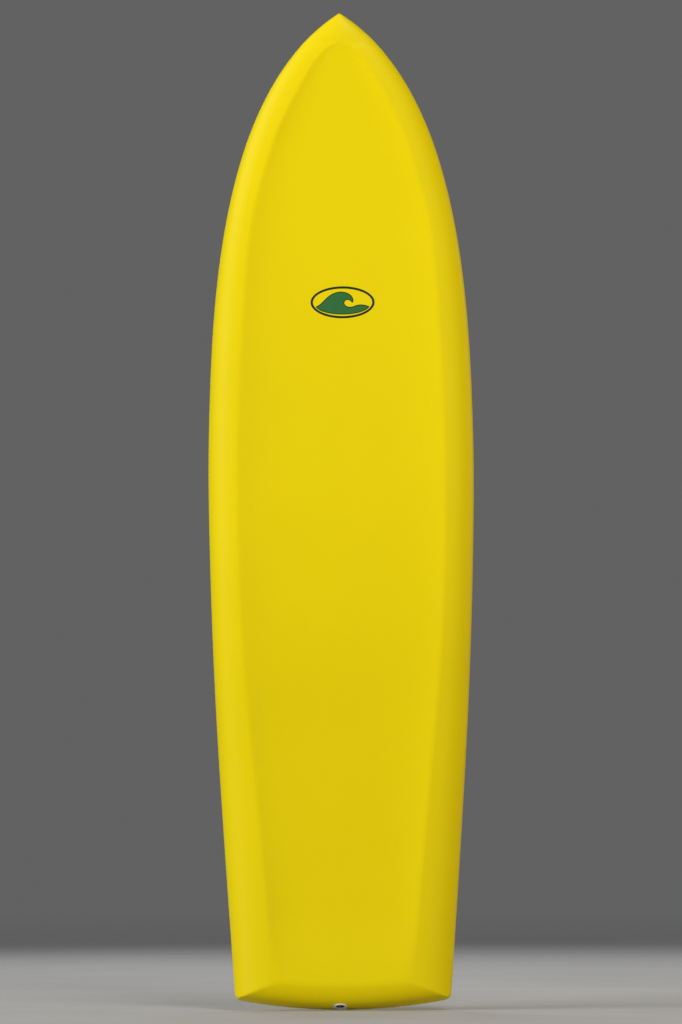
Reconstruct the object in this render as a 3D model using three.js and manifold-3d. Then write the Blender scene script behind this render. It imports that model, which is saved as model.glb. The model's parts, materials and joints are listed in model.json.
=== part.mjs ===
// Shortboard-length surfboard with a wide squared tail, a dished deck panel, bevelled deck rails, a leash plug set in the
// tail face and four removable fins. Millimetres. The board stands on its tail: +Z runs from tail to nose, the deck faces -Y,
// the bottom and its fins face +Y, and +X is the rider's right-hand rail seen from the deck. The origin is the middle of the
// tail edge, where the board stands in a rack.
import * as THREE from "three";
import { mergeVertices } from "three/addons/utils/BufferGeometryUtils.js";
import Module from "manifold-3d";

// ---------- driving dimensions ----------
const LENGTH = 1929.6; // 6 ft 4 in
const NOSE_ROCKER = 105; // lift of the bottom at the nose
const NOSE_ROCKER_FROM = 1080; // the bottom is dead flat between these two stations
const TAIL_ROCKER = 42;
const TAIL_ROCKER_TO = 620;
const TAIL_ARC = 20.4; // how far the tail's middle stands behind its corners
const TAIL_CORNER_R = 12;
const TAIL_BEVEL = 52; // length of the bevel ahead of the tail edge
const SKIN = 1.6; // fibreglass and resin
const GAP = 0.3; // kept between other bonded pieces
const BOND = 0.5; // bond line between the skins and the blank
const STRINGER = 4.0; // wooden stringer's thickness
const RAIL_TUCK = 32; // width of the rail's roll under the bottom, amidships

// half width of the outline at each height above the tail
const HALF_WIDTH = [
  [22, 209.35], [48.3, 211.15], [126.5, 216.3], [242.7, 224.2], [359.1, 231.75], [475.4, 238.95], [591.6, 245.2],
  [708, 250.15], [824.3, 253.85], [940.6, 256.35], [1056.9, 257.15], [1173.2, 254.65], [1289.5, 249.4],
  [1405.8, 239.35], [1522, 222.1], [1580.2, 209.7], [1638.3, 194.25], [1696.2, 174.8], [1754.1, 149.6],
  [1812.3, 116.6], [1835.6, 100.3], [1858.8, 81.9], [1882.1, 60.5], [1897.6, 43.7], [1905.4, 34.5],
  [1913.1, 24.75], [1920.9, 13.9], [1929.6, 1.6],
];
// height of the deck's crest above the bottom
const DEPTH = [
  [0, 50], [150, 54], [400, 61], [700, 66.5], [1000, 68], [1300, 65.5], [1500, 59.5], [1650, 51.5], [1780, 41],
  [1860, 31], [1900, 22.5], [1929.6, 9],
];
// height of the rail's widest point above the bottom
const RAIL_APEX = [
  [0, 7], [150, 9], [400, 14], [700, 20], [1000, 23], [1300, 23.5], [1500, 21.5], [1650, 18.5], [1780, 14.5],
  [1860, 11.5], [1900, 8.5], [1929.6, 4.5],
];
// square of the half width of the deck's centre panel, whose edge is the crest
const PANEL_SQ = [
  [0, 14600], [53, 16300], [115, 18900], [212, 21700], [367, 26000], [561, 32400], [755, 37900], [949, 40000],
  [1142, 39400], [1375, 35000], [1569, 26500], [1627, 21400], [1683, 16500], [1740, 10700], [1786, 6200],
  [1831, 2650], [1871, 0], [1929.6, -3800],
];
const DISH = 6.5; // how far the panel's middle lies below its crests
// height of the tail's face at each distance ahead of the tail edge, as a share of its rise from the rail's edge to the crest
const TAIL_FACE = [
  [0, 0], [0.6, 0.06], [1.8, 0.14], [3.5, 0.24], [6.5, 0.388], [10, 0.52], [15, 0.646], [22, 0.764], [31, 0.868],
  [41, 0.948], [49, 0.99], [TAIL_BEVEL, 1],
];

// leash plug
const PLUG_X = -5.6;
const PLUG_Z = 5.8;
const PLUG_TILT = 67; // degrees between the plug's face and the deck
const PLUG_FLANGE_R = 14;
const PLUG_FLANGE_T = 1.6;
const PLUG_BODY_R = 12.2;
const PLUG_BORE_R = 8.4;
const PLUG_DEPTH = 17;
const PLUG_PIN_R = 1.8;
const PLUG_PIN_DEEP = 4.2;
const PLUG_PIN_TURN = 75; // degrees between the pin and the board's width, in the plug's face

// fin boxes and fins
const BOX_LENGTH = 132;
const BOX_WIDTH = 18;
const BOX_BODY_WIDTH = 14;
const BOX_FLANGE_T = 2.2;
const BOX_DEPTH = 21;
const TAB_FROM = -57.6;
const TAB_TO = 43.6;
const TAB_T = 6.0;
const TAB_DEPTH = 17.2;
const TAB_PLAY = 0.35;
const FIN_SEAT = 0.5; // gap between the fin's base and the box's rim
const SCREW_AT = 56.4;
const SCREW_R = 2.35;
const SCREW_PLAY = 0.35;
const SCREW_LENGTH = 9;
const SCREW_SUNK = 1.0;
const FINS = [
  // name, side, distance from the stringer, station, toe-in, cant, base, depth
  ["front_left", -1, 190, 342, 3.0, 5.5, 112, 115],
  ["front_right", 1, 190, 342, 3.0, 5.5, 112, 115],
  ["rear_left", -1, 122, 196, 2.0, 4.0, 104, 103],
  ["rear_right", 1, 122, 196, 2.0, 4.0, 104, 103],
];

// ---------- manifold-3d helpers ----------
const wasm = await Module();
wasm.setup();

function solid(geometry, matrix) {
  let g = new THREE.BufferGeometry().setAttribute(
    "position",
    (geometry.index ? geometry.toNonIndexed() : geometry).getAttribute("position").clone(),
  );
  if (matrix) g.applyMatrix4(matrix);
  g = mergeVertices(g, 1e-3);
  return new wasm.Manifold(
    new wasm.Mesh({
      numProp: 3,
      vertProperties: g.attributes.position.array,
      triVerts: new Uint32Array(g.index.array),
    }),
  );
}

function geometryOf(made) {
  const m = made.getMesh(),
    n = m.numProp,
    v = new Float32Array(m.numVert * 3);
  for (let i = 0; i < m.numVert; i++) v.set(m.vertProperties.subarray(i * n, i * n + 3), i * 3);
  const g = new THREE.BufferGeometry()
    .setAttribute("position", new THREE.BufferAttribute(v, 3))
    .setIndex(new THREE.BufferAttribute(new Uint32Array(m.triVerts), 1));
  g.computeVertexNormals();
  return g;
}

// ---------- curves ----------
// natural cubic spline through the table's points
function spline(table) {
  const n = table.length,
    x = table.map((p) => p[0]),
    y = table.map((p) => p[1]),
    m = new Array(n).fill(0),
    c = new Array(n).fill(0),
    d = new Array(n).fill(0);
  for (let i = 1; i < n - 1; i++) {
    const a = x[i] - x[i - 1],
      b = x[i + 1] - x[i],
      r = 6 * ((y[i + 1] - y[i]) / b - (y[i] - y[i - 1]) / a),
      w = 2 * (a + b) - a * c[i - 1];
    c[i] = b / w;
    d[i] = (r - a * d[i - 1]) / w;
  }
  for (let i = n - 2; i > 0; i--) m[i] = d[i] - c[i] * m[i + 1];
  return (v) => {
    const q = Math.min(Math.max(v, x[0]), x[n - 1]);
    let i = 0;
    while (i < n - 2 && q > x[i + 1]) i++;
    const h = x[i + 1] - x[i],
      a = (x[i + 1] - q) / h,
      b = (q - x[i]) / h;
    return a * y[i] + b * y[i + 1] + (((a ** 3 - a) * m[i] + (b ** 3 - b) * m[i + 1]) * h * h) / 6;
  };
}
const halfWidth = spline(HALF_WIDTH);
const depth = spline(DEPTH);
const apex = spline(RAIL_APEX);
const panelSq = spline(PANEL_SQ);

function rocker(z) {
  if (z > NOSE_ROCKER_FROM) return NOSE_ROCKER * ((z - NOSE_ROCKER_FROM) / (LENGTH - NOSE_ROCKER_FROM)) ** 2.4;
  if (z < TAIL_ROCKER_TO) return TAIL_ROCKER * ((TAIL_ROCKER_TO - z) / TAIL_ROCKER_TO) ** 2;
  return 0;
}
const Y0 = TAIL_ROCKER + apex(0); // brings the tail edge to y = 0
const bottomY = (z) => Y0 - rocker(z);

// height gained from the rail's edge to the crest, both in shares
function bevel(q) {
  const t = Math.min(Math.max(q, 0), 1);
  return 0.78 * Math.sqrt(1 - (1 - t) ** 3) + 0.22 * t;
}
const tailFace = spline(TAIL_FACE);

// A row of the board at distance s ahead of the tail arc, pulled in by `inset` all round.
function station(s, inset) {
  const corner = s < TAIL_CORNER_R ? TAIL_CORNER_R - Math.sqrt(Math.max(0, TAIL_CORNER_R ** 2 - (TAIL_CORNER_R - s) ** 2)) : 0,
    blend = s < 250 ? (1 - s / 250) ** 2 : 0,
    zEdge = s + TAIL_ARC * blend,
    slope = Math.abs(halfWidth(zEdge + 2) - halfWidth(zEdge - 2)) / 4,
    lean = Math.min(Math.hypot(1, slope), 2.0),
    w = Math.max(halfWidth(zEdge) - corner - inset * lean, 0.8);
  return {
    s,
    blend,
    w,
    zAt: (x) => s + TAIL_ARC * blend * (x / 209.35) ** 2,
    panel: Math.max(Math.sqrt(Math.max(panelSq(zEdge), 0)), Math.min(5, 0.2 * w)),
    crest: depth(zEdge) - inset,
    edge: apex(zEdge),
    floor: inset,
  };
}
function deckHeight(st, x, lift, tailFrom) {
  const t = st.w - Math.abs(x),
    roll = Math.max(st.w - st.panel, 1),
    edge = st.edge + lift,
    side = Math.abs(x) < st.panel ? st.crest : edge + (st.crest - edge) * bevel(t / roll),
    tail = edge + (st.crest - edge) * tailFace(st.s - tailFrom),
    dish = Math.abs(x) < st.panel ? DISH * (1 - Math.abs(x / st.panel) ** 5) * Math.min(1, st.panel / 120) : 0,
    fade = Math.min(1, Math.max(0, st.s - 30) / 170);
  return Math.max(Math.min(side, tail) - dish * fade * fade * (3 - 2 * fade), st.s - tailFrom <= 0 ? edge : edge + 0.2 * (t > 0 ? 1 : 0));
}
function bottomHeight(st, x, lift, tailFrom) {
  const tuck = Math.min(RAIL_TUCK * Math.min(1, 0.25 + st.s / 800), 0.8 * st.w),
    t = st.w - Math.abs(x),
    q = Math.min(Math.max(Math.min(t / tuck, (st.s - tailFrom) / 7), 0), 1),
    edge = st.edge + lift;
  return st.floor + (edge - st.floor) * (1 - Math.sqrt(1 - (1 - q) ** 2.2));
}

const STATIONS = [
  0, 1.5, 4, 8, 13, 20, 30, 41, 52, 80, 125, 190, 270, 370, 490, 620, 775, 930, 1080, 1200, 1320, 1430, 1530, 1620,
  1700, 1765, 1815, 1850, 1876, 1896, 1911, 1921, 1927, 1929.6,
];
const PANEL_COLUMNS = [-1, -0.88, -0.68, -0.4, 0, 0.4, 0.68, 0.88, 1];
const BEVEL_COLUMNS = [0.62, 0.36, 0.19, 0.075, 0.015, 0];
const TUCK_COLUMNS = [0, 0.05, 0.2, 0.5, 1];

function deckRow(st, lift, tailFrom) {
  const roll = st.w - st.panel,
    right = BEVEL_COLUMNS.map((q) => st.w - q * roll),
    xs = [...right.map((x) => -x).reverse(), ...PANEL_COLUMNS.map((q) => q * st.panel), ...right];
  return xs.map((x) => {
    const z = st.zAt(x);
    return new THREE.Vector3(x, bottomY(z) - deckHeight(st, x, lift, tailFrom), z);
  });
}
function bottomRow(st, lift, tailFrom) {
  const tuck = Math.min(RAIL_TUCK * Math.min(1, 0.25 + st.s / 800), 0.8 * st.w),
    right = TUCK_COLUMNS.map((q) => st.w - q * tuck).reverse(),
    middle = [-0.68, -0.35, 0, 0.35, 0.68].map((q) => q * (st.w - tuck)),
    xs = [...right.map((x) => -x).reverse(), ...middle, ...right];
  return xs.map((x) => {
    const z = st.zAt(x);
    return new THREE.Vector3(x, bottomY(z) - bottomHeight(st, x, lift, tailFrom), z);
  });
}
function insetStations(inset) {
  const end = LENGTH - 3.6 * inset - 0.2;
  return STATIONS.map((s) => inset + (s / LENGTH) * (end - inset));
}

// ---------- closed surfaces ----------
function mesher() {
  const tri = [];
  return {
    tri,
    face(a, b, c, flip) {
      if (a.distanceTo(b) < 1e-4 || b.distanceTo(c) < 1e-4 || c.distanceTo(a) < 1e-4) return;
      tri.push(...(flip ? [a, c, b] : [a, b, c]));
    },
    strip(p, q, flip) {
      for (let i = 0; i + 1 < p.length; i++) {
        this.face(p[i], p[i + 1], q[i + 1], flip);
        this.face(p[i], q[i + 1], q[i], flip);
      }
    },
    done() {
      return new THREE.BufferGeometry().setFromPoints(tri);
    },
  };
}

// A skin: an outer and an inner sheet of the same grid, closed along its rims and at the nose.
function skinGeometry(rowOf, lift, flip) {
  const outer = STATIONS.map((s) => rowOf(station(s, 0), lift, 0)),
    inner = insetStations(SKIN).map((s) => rowOf(station(s, SKIN), lift, SKIN)),
    m = mesher(),
    n = outer.length - 1,
    u = outer[0].length - 1;
  for (let j = 0; j < n; j++) {
    m.strip(outer[j], outer[j + 1], flip);
    m.strip(inner[j], inner[j + 1], !flip);
    m.face(outer[j][0], outer[j + 1][0], inner[j + 1][0], flip);
    m.face(outer[j][0], inner[j + 1][0], inner[j][0], flip);
    m.face(outer[j][u], inner[j + 1][u], outer[j + 1][u], flip);
    m.face(outer[j][u], inner[j][u], inner[j + 1][u], flip);
  }
  m.strip(outer[0], inner[0], !flip);
  const z = LENGTH - 3.2,
    tip = new THREE.Vector3(0, bottomY(z) - apex(z) - lift, z);
  for (let i = 0; i < u; i++) {
    m.face(outer[n][i], outer[n][i + 1], tip, flip);
    m.face(inner[n][i], inner[n][i + 1], tip, !flip);
  }
  m.face(outer[n][0], tip, inner[n][0], flip);
  m.face(outer[n][u], inner[n][u], tip, flip);
  return m.done();
}

// The shaped blank inside the skins, drawn in from the skins' inner faces by the bond line.
function blankGeometry(bond) {
  const m = mesher(),
    loops = insetStations(SKIN).map((s, j) => {
      const st = station(j ? s : s + 0.8, SKIN),
        top = deckRow(st, 0, SKIN),
        under = bottomRow(st, 0, SKIN);
      under[0].copy(top[0]);
      under[under.length - 1].copy(top[top.length - 1]);
      top.forEach((p, i) => (p.y += i && i + 1 < top.length ? bond : 0));
      under.forEach((p, i) => (p.y -= i && i + 1 < under.length ? bond : 0));
      const loop = [...top, ...under.slice(1, -1).reverse()];
      return loop.map((p) => new THREE.Vector3(p.x * (1 - (1.2 * bond) / st.w), p.y, p.z * (1 - (2.4 * bond) / LENGTH) + 1.2 * bond));
    }),
    n = loops[0].length;
  for (let j = 0; j + 1 < loops.length; j++) m.strip([...loops[j], loops[j][0]], [...loops[j + 1], loops[j + 1][0]], false);
  for (const [loop, end] of [
    [loops[0], false],
    [loops[loops.length - 1], true],
  ]) {
    const flat = loop.map((p) => new THREE.Vector2(p.x, -p.y));
    for (const [a, b, c] of THREE.ShapeUtils.triangulateShape(flat, [])) {
      const turn = new THREE.Vector2().subVectors(flat[b], flat[a]).cross(new THREE.Vector2().subVectors(flat[c], flat[a])) > 0;
      m.face(loop[a], loop[b], loop[c], end ? turn : !turn);
    }
  }
  return m.done();
}

// ---------- placed frames ----------
// x across the board, y out of the bottom, z along the bottom towards the nose
function bottomFrame(x, z, toe) {
  const dy = (bottomY(z + 1) - bottomY(z - 1)) / 2,
    ez = new THREE.Vector3(0, dy, 1).normalize(),
    ex = new THREE.Vector3(1, 0, 0),
    ey = new THREE.Vector3().crossVectors(ez, ex);
  return new THREE.Matrix4()
    .makeBasis(ex, ey, ez)
    .multiply(new THREE.Matrix4().makeRotationY(-Math.sign(x) * THREE.MathUtils.degToRad(toe)))
    .premultiply(new THREE.Matrix4().makeTranslation(x, bottomY(z), z));
}
const canted = (frame, side, cant) =>
  frame.clone().multiply(new THREE.Matrix4().makeRotationZ(-side * THREE.MathUtils.degToRad(cant)));

// a slot-ended outline in the local x-z plane, extruded along local y from y0 to y1
function slotted(z0, z1, width, y0, y1, segments = 8) {
  const r = width / 2,
    shape = new THREE.Shape();
  shape.moveTo(-r, z0 + r);
  shape.absarc(0, z0 + r, r, Math.PI, 2 * Math.PI, false);
  shape.absarc(0, z1 - r, r, 0, Math.PI, false);
  shape.closePath();
  // the shape's x, y become local x, z; its depth runs along -y from y1
  return new THREE.ExtrudeGeometry(shape, { depth: y1 - y0, bevelEnabled: false, curveSegments: segments }).applyMatrix4(
    new THREE.Matrix4().makeBasis(new THREE.Vector3(1, 0, 0), new THREE.Vector3(0, 0, 1), new THREE.Vector3(0, -1, 0)),
  ).applyMatrix4(new THREE.Matrix4().makeTranslation(0, y1, 0));
}
function block(x0, x1, y0, y1, z0, z1) {
  return new THREE.BoxGeometry(x1 - x0, y1 - y0, z1 - z0).translate((x0 + x1) / 2, (y0 + y1) / 2, (z0 + z1) / 2);
}
const rod = (r, length, segments) => new THREE.CylinderGeometry(r, r, length, segments);

// ---------- fins ----------
const LEADING = [
  [0, 50], [0.12, 39], [0.25, 26.5], [0.4, 10.5], [0.55, -7], [0.7, -26.5], [0.85, -49], [0.94, -65], [1, -78],
];
const TRAILING = [
  [0, -62], [0.12, -62.2], [0.25, -62], [0.4, -62.8], [0.55, -65.5], [0.7, -70.5], [0.85, -77.2], [0.94, -81], [1, -82.5],
];
const leading = spline(LEADING);
const trailing = spline(TRAILING);
const FOIL = [0, 0.02, 0.07, 0.17, 0.32, 0.5, 0.7, 0.88, 1];
const foil = (q) => 2.6 * (0.2969 * Math.sqrt(q) - 0.126 * q - 0.3516 * q ** 2 + 0.2843 * q ** 3 - 0.1015 * q ** 4) * 2;
function bladeGeometry(side, base, tall) {
  const m = mesher(),
    scale = base / 112,
    loops = [0, 0.1, 0.22, 0.36, 0.5, 0.64, 0.78, 0.88, 0.95, 1].map((d) => {
      const front = leading(d) * scale,
        back = trailing(d) * scale,
        chord = front - back,
        thick = 7.0 * (1 - 0.72 * d) * scale,
        outer = FOIL.map((q) => [front - q * chord, -0.45 + Math.max(thick * foil(q) * 1.02, 0)]),
        inner = FOIL.slice().reverse().map((q) => [front - q * chord, -0.45 - 0.42 - 0.25 * (1 - d)]);
      return [...outer, ...inner].map(([z, x]) => new THREE.Vector3(side * (x - 2.0 * scale * (1 - 0.7 * d)), FIN_SEAT + d * tall, z));
    });
  for (let j = 0; j + 1 < loops.length; j++) m.strip([...loops[j], loops[j][0]], [...loops[j + 1], loops[j + 1][0]], side < 0);
  for (const [loop, top] of [
    [loops[0], false],
    [loops[loops.length - 1], true],
  ]) {
    const k = FOIL.length;
    for (let i = 0; i + 1 < k; i++) {
      m.face(loop[i], loop[i + 1], loop[2 * k - 2 - i], top ? side < 0 : side > 0);
      m.face(loop[i], loop[2 * k - 2 - i], loop[2 * k - 1 - i], top ? side < 0 : side > 0);
    }
  }
  return m.done();
}

// ---------- pieces ----------
const PAINT = {
  yellow: { color: 0xe6cc00, roughness: 0.38, metalness: 0 },
  foam: { color: 0xf2f0ea, roughness: 0.9, metalness: 0 },
  wood: { color: 0xc9a36b, roughness: 0.7, metalness: 0 },
  plug: { color: 0xe9ebe8, roughness: 0.3, metalness: 0 },
  steel: { color: 0xb9bcc0, roughness: 0.25, metalness: 1 },
  box: { color: 0xf1f1ee, roughness: 0.45, metalness: 0 },
  fin: { color: 0x1d1f21, roughness: 0.3, metalness: 0 },
  dark: { color: 0x22301f, roughness: 0.4, metalness: 0 },
  green: { color: 0x346e3c, roughness: 0.4, metalness: 0 },
};
const board = new THREE.Group();
function add(name, geometry, paint) {
  const mesh = new THREE.Mesh(geometry, new THREE.MeshStandardMaterial(PAINT[paint]));
  mesh.name = name;
  board.add(mesh);
  return mesh;
}

// the leash plug's frame: local y out of its face, local x across the board
const tilt = THREE.MathUtils.degToRad(PLUG_TILT);
const plugNormal = new THREE.Vector3(0, -Math.cos(tilt), -Math.sin(tilt));
const PLUG_HEIGHT = 21.5; // above the bottom
const plugAt = new THREE.Vector3(PLUG_X, bottomY(PLUG_Z) - PLUG_HEIGHT, PLUG_Z);
const plugFrame = new THREE.Matrix4()
  .makeBasis(
    new THREE.Vector3(1, 0, 0),
    plugNormal,
    new THREE.Vector3().crossVectors(new THREE.Vector3(1, 0, 0), plugNormal),
  )
  .setPosition(plugAt);
const plugPocket = solid(rod(PLUG_FLANGE_R + 0.35, 12, 32).translate(0, 6 - PLUG_FLANGE_T - 0.35, 0), plugFrame).add(
  solid(rod(PLUG_BODY_R + 0.35, PLUG_DEPTH + 2, 28).translate(0, -(PLUG_DEPTH + 2) / 2 + 1, 0), plugFrame),
);

const boxFrames = FINS.map(([, side, x, z, toe]) => bottomFrame(side * x, z, toe));
const boxPockets = boxFrames
  .map((frame) =>
    solid(slotted(-BOX_LENGTH / 2 - 0.35, BOX_LENGTH / 2 + 0.35, BOX_WIDTH + 0.7, -BOX_FLANGE_T - 0.35, 8), frame).add(
      solid(slotted(-BOX_LENGTH / 2 + 2.65, BOX_LENGTH / 2 - 2.65, BOX_BODY_WIDTH + 0.7, -BOX_DEPTH - 0.35, 0), frame),
    ),
  );
const leftPockets = boxPockets.filter((_, i) => FINS[i][1] < 0).reduce((a, b) => a.add(b));
const rightPockets = boxPockets.filter((_, i) => FINS[i][1] > 0).reduce((a, b) => a.add(b));

add("deck_laminate", geometryOf(solid(skinGeometry(deckRow, GAP / 2, false)).subtract(plugPocket)), "yellow");
add(
  "bottom_laminate",
  geometryOf(
    solid(skinGeometry(bottomRow, -GAP / 2, true)).subtract(leftPockets).subtract(rightPockets).subtract(plugPocket),
  ),
  "yellow",
);

// the blank's foot is trimmed back where the plug's pocket breaks out of it
const blank = solid(blankGeometry(BOND)).subtract(plugPocket).subtract(solid(block(-21, 10, -16, 8, -5, 10)));
const half = STRINGER / 2;
add(
  "foam_core_left",
  geometryOf(blank.intersect(solid(block(-400, -half - GAP, -400, 400, -50, 2050))).subtract(leftPockets)),
  "foam",
);
add(
  "foam_core_right",
  geometryOf(blank.intersect(solid(block(half + GAP, 400, -400, 400, -50, 2050))).subtract(rightPockets)),
  "foam",
);
add("stringer", geometryOf(blank.intersect(solid(block(-half, half, -400, 400, -50, 2050)))), "wood");

// leash plug: a flanged cup with a steel pin across it
const pinFrame = new THREE.Matrix4()
  .makeRotationZ(Math.PI / 2)
  .premultiply(new THREE.Matrix4().makeRotationY(THREE.MathUtils.degToRad(PLUG_PIN_TURN)))
  .setPosition(0, -PLUG_PIN_DEEP, 0)
  .premultiply(plugFrame);
add(
  "leash_plug_cup",
  geometryOf(
    solid(rod(PLUG_FLANGE_R, PLUG_FLANGE_T, 32).translate(0, -PLUG_FLANGE_T / 2, 0), plugFrame)
      .add(solid(rod(PLUG_BODY_R, PLUG_DEPTH, 28).translate(0, -PLUG_DEPTH / 2 - 0.4, 0), plugFrame))
      .subtract(solid(rod(PLUG_BORE_R, PLUG_DEPTH, 28).translate(0, -PLUG_DEPTH / 2 + 2, 0), plugFrame))
      .subtract(solid(rod(PLUG_PIN_R + 0.3, 2 * PLUG_BORE_R + 2.4, 16), pinFrame)),
  ),
  "plug",
);
add("leash_plug_pin", rod(PLUG_PIN_R, 2 * PLUG_BORE_R + 1.6, 16).applyMatrix4(pinFrame), "steel");

// emblem: two thin plates of a printed decal that follow the deck
const EMBLEM_Z = 1371;
const EMBLEM_X = 4;
function onDeck(shape, thick, stand) {
  const g = new THREE.ExtrudeGeometry(shape, { depth: 1, bevelEnabled: false, curveSegments: 20 }),
    p = g.attributes.position;
  for (let i = 0; i < p.count; i++) {
    const x = EMBLEM_X + p.getX(i),
      z = EMBLEM_Z + p.getY(i),
      st = station(z, 0),
      y = bottomY(z) - deckHeight(st, x, 0, 0) - stand - (p.getZ(i) > 0.5 ? thick : 0);
    p.setXYZ(i, x, y, z);
  }
  return g;
}
const ring = new THREE.Shape().absellipse(0, 0, 62, 31, 0, 2 * Math.PI, false);
ring.holes.push(new THREE.Path().absellipse(0, 0, 57.5, 26.5, 0, 2 * Math.PI, true));
add("emblem_ring", onDeck(ring, 0.4, 0.95), "dark");
const wave = new THREE.Shape()
  .moveTo(-50, -9)
  .bezierCurveTo(-36, -4, -30, 16, -6, 19)
  .bezierCurveTo(10, 20, 21, 11, 19, 1)
  .bezierCurveTo(14, 8, 4, 8, 2, 1)
  .bezierCurveTo(0, -8, 12, -13, 22, -9)
  .bezierCurveTo(34, -4, 42, -6, 50, -9)
  .bezierCurveTo(40, -19, 18, -22, 0, -22)
  .bezierCurveTo(-20, -22, -42, -18, -50, -9);
add("emblem_wave", onDeck(wave, 0.4, 0.95), "green");

// fin boxes, their screws and the fins
FINS.forEach(([name, side, , , , cant, base, tall], i) => {
  const frame = boxFrames[i],
    finFrame = canted(frame, side, cant),
    slot = solid(
      block(-TAB_T / 2 - TAB_PLAY, TAB_T / 2 + TAB_PLAY, -TAB_DEPTH - 0.5, 8, TAB_FROM - 0.4, TAB_TO + 0.4),
      finFrame,
    ),
    screwHole = solid(rod(SCREW_R + SCREW_PLAY, 20, 20).translate(0, -2.5, SCREW_AT), frame);
  add(
    `fin_box_${name}`,
    geometryOf(
      solid(slotted(-BOX_LENGTH / 2, BOX_LENGTH / 2, BOX_WIDTH, -BOX_FLANGE_T, 0), frame)
        .add(solid(slotted(-BOX_LENGTH / 2 + 3, BOX_LENGTH / 2 - 3, BOX_BODY_WIDTH, -BOX_DEPTH, -1), frame))
        .subtract(slot)
        .subtract(screwHole),
    ),
    "box",
  );
  const hex = new THREE.CylinderGeometry(1.45, 1.45, 4, 6).translate(0, -SCREW_SUNK + 0.5, SCREW_AT);
  add(
    `grub_screw_${name}`,
    geometryOf(
      solid(rod(SCREW_R, SCREW_LENGTH, 20).translate(0, -SCREW_SUNK - SCREW_LENGTH / 2, SCREW_AT), frame).subtract(
        solid(hex, frame),
      ),
    ),
    "steel",
  );
  const tab = block(-TAB_T / 2, TAB_T / 2, FIN_SEAT - TAB_DEPTH, FIN_SEAT + 1.5, TAB_FROM, TAB_TO);
  add(
    `fin_${name}`,
    geometryOf(solid(bladeGeometry(side, base, tall), finFrame).add(solid(tab, finFrame))),
    "fin",
  );
});

export default board;
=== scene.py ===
"""A yellow surfboard standing on its tail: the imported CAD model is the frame, and the fine surfaces are built around it."""

import json
import math

import bpy
import numpy as np
from mathutils import Matrix, Vector
from mathutils.geometry import delaunay_2d_cdt

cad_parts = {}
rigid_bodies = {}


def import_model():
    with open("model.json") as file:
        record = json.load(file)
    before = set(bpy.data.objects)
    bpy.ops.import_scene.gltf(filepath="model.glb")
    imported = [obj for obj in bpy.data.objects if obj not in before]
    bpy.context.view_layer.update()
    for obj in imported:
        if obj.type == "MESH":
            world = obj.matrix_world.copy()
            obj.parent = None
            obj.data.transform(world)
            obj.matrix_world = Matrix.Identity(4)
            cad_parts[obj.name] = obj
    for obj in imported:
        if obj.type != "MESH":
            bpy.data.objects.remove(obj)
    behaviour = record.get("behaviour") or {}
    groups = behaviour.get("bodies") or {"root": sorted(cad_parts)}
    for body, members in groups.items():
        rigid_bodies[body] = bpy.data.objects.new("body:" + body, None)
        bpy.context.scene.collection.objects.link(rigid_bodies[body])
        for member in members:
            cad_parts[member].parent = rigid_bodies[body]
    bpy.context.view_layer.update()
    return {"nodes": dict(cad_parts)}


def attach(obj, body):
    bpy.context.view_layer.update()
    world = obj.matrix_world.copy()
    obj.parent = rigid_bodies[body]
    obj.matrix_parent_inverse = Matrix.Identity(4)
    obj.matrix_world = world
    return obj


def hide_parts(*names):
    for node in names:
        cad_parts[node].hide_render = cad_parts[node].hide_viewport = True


for o in list(bpy.data.objects):
    bpy.data.objects.remove(o)
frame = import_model()
scene = bpy.context.scene
nodes = frame["nodes"]
MM = 0.001

# ------------------------------------------------------------------ the board's lines, in millimetres
LENGTH = 1929.6
NOSE_ROCKER, NOSE_ROCKER_FROM = 105.0, 1080.0
TAIL_ROCKER, TAIL_ROCKER_TO = 42.0, 620.0
TAIL_ARC = 20.4
TAIL_CORNER_R = 12.0
SKIN = 1.6
RAIL_TUCK = 32.0
DISH = 6.5
TAIL_BEVEL = 52.0
HALF_WIDTH = [
    [22, 209.35], [48.3, 211.15], [126.5, 216.3], [242.7, 224.2], [359.1, 231.75], [475.4, 238.95], [591.6, 245.2],
    [708, 250.15], [824.3, 253.85], [940.6, 256.35], [1056.9, 257.15], [1173.2, 254.65], [1289.5, 249.4],
    [1405.8, 239.35], [1522, 222.1], [1580.2, 209.7], [1638.3, 194.25], [1696.2, 174.8], [1754.1, 149.6],
    [1812.3, 116.6], [1835.6, 100.3], [1858.8, 81.9], [1882.1, 60.5], [1897.6, 43.7], [1905.4, 34.5],
    [1913.1, 24.75], [1920.9, 13.9], [1929.6, 1.6],
]
DEPTH = [
    [0, 50], [150, 54], [400, 61], [700, 66.5], [1000, 68], [1300, 65.5], [1500, 59.5], [1650, 51.5], [1780, 41],
    [1860, 31], [1900, 22.5], [1929.6, 9],
]
RAIL_APEX = [
    [0, 7], [150, 9], [400, 14], [700, 20], [1000, 23], [1300, 23.5], [1500, 21.5], [1650, 18.5], [1780, 14.5],
    [1860, 11.5], [1900, 8.5], [1929.6, 4.5],
]
PANEL_SQ = [
    [0, 14600], [53, 16300], [115, 18900], [212, 21700], [367, 26000], [561, 32400], [755, 37900], [949, 40000],
    [1142, 39400], [1375, 35000], [1569, 26500], [1627, 21400], [1683, 16500], [1740, 10700], [1786, 6200],
    [1831, 2650], [1871, 0], [1929.6, -3800],
]
TAIL_FACE = [
    [0, 0], [0.6, 0.06], [1.8, 0.14], [3.5, 0.24], [6.5, 0.388], [10, 0.52], [15, 0.646], [22, 0.764], [31, 0.868],
    [41, 0.948], [49, 0.99], [52, 1],
]
PLUG_X, PLUG_Z, PLUG_TILT, PLUG_HEIGHT = -5.6, 5.8, 67.0, 21.5
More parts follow.
